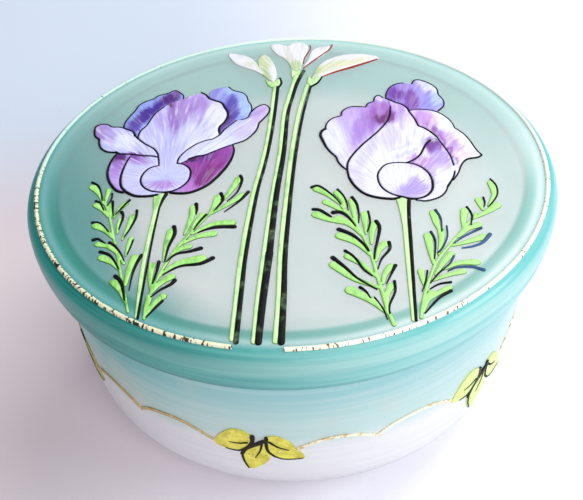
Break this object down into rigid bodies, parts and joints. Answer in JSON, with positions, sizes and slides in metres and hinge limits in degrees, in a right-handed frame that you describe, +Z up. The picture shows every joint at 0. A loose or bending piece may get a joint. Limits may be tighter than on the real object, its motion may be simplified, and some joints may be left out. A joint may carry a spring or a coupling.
{
  "type": "trinket box",
  "caption": "Round frosted-glass trinket box: rounded bowl on a flat foot, overhanging lift-off lid painted with raised enamel irises.",
  "frame": {"origin": "middle of the foot, on the surface the box stands on", "axes": "+Z up, +Y from the front of the painting to its buds, +X to the right of the painting"},
  "size_m": [0.14, 0.14, 0.0665],
  "materials": {
    "base_glass": "satin frosted, teal at the neck fading to clear below the scallops",
    "base_scallop_line": "worn gilding",
    "base_leaves": "yellow enamel",
    "base_leaf_veins": "black enamel",
    "lid_glass": "satin frosted teal, paler in the middle of the top",
    "lid_rim_line": "raised cream enamel, worn to dark specks",
    "centre_stems": "green enamel",
    "centre_stem_lines": "black enamel",
    "bud_petals": "white to yellow-green enamel",
    "bud_cups": "green enamel",
    "bud_red_edges": "brown-red enamel",
    "left_pale_petals": "white to lilac brushed enamel",
    "left_blue_petals": "blue to violet brushed enamel",
    "left_purple_petals": "purple brushed enamel",
    "left_flower_lines": "black enamel",
    "left_flower_stem": "green enamel",
    "left_leaf_sprays": "green enamel",
    "left_leaf_lines": "black enamel",
    "right_pale_petals": "white to lilac brushed enamel",
    "right_mauve_petal": "white to mauve brushed enamel",
    "right_back_petal": "violet to pale blue brushed enamel",
    "right_flower_lines": "black enamel",
    "right_flower_stem": "green enamel",
    "right_leaf_sprays": "green enamel",
    "right_leaf_lines": "blue-black enamel"
  },
  "bodies": {
    "base": {"base_glass": "base_glass", "base_scallop_line": "base_scallop_line", "base_leaves": "base_leaves", "base_leaf_veins": "base_leaf_veins"},
    "lid": {"lid_glass": "lid_glass", "lid_rim_line": "lid_rim_line", "centre_stems": "centre_stems", "centre_stem_lines": "centre_stem_lines", "bud_petals": "bud_petals", "bud_cups": "bud_cups", "bud_red_edges": "bud_red_edges", "left_pale_petals": "left_pale_petals", "left_blue_petals": "left_blue_petals", "left_purple_petals": "left_purple_petals", "left_flower_lines": "left_flower_lines", "left_flower_stem": "left_flower_stem", "left_leaf_sprays": "left_leaf_sprays", "left_leaf_lines": "left_leaf_lines", "right_pale_petals": "right_pale_petals", "right_mauve_petal": "right_mauve_petal", "right_back_petal": "right_back_petal", "right_flower_lines": "right_flower_lines", "right_flower_stem": "right_flower_stem", "right_leaf_sprays": "right_leaf_sprays", "right_leaf_lines": "right_leaf_lines"}
  },
  "joints": [
    {"name": "lid_lift", "type": "slide", "parent": "base", "child": "lid", "axis": [0, 0, 1], "range_m": [0, 0.08]}
  ]
}
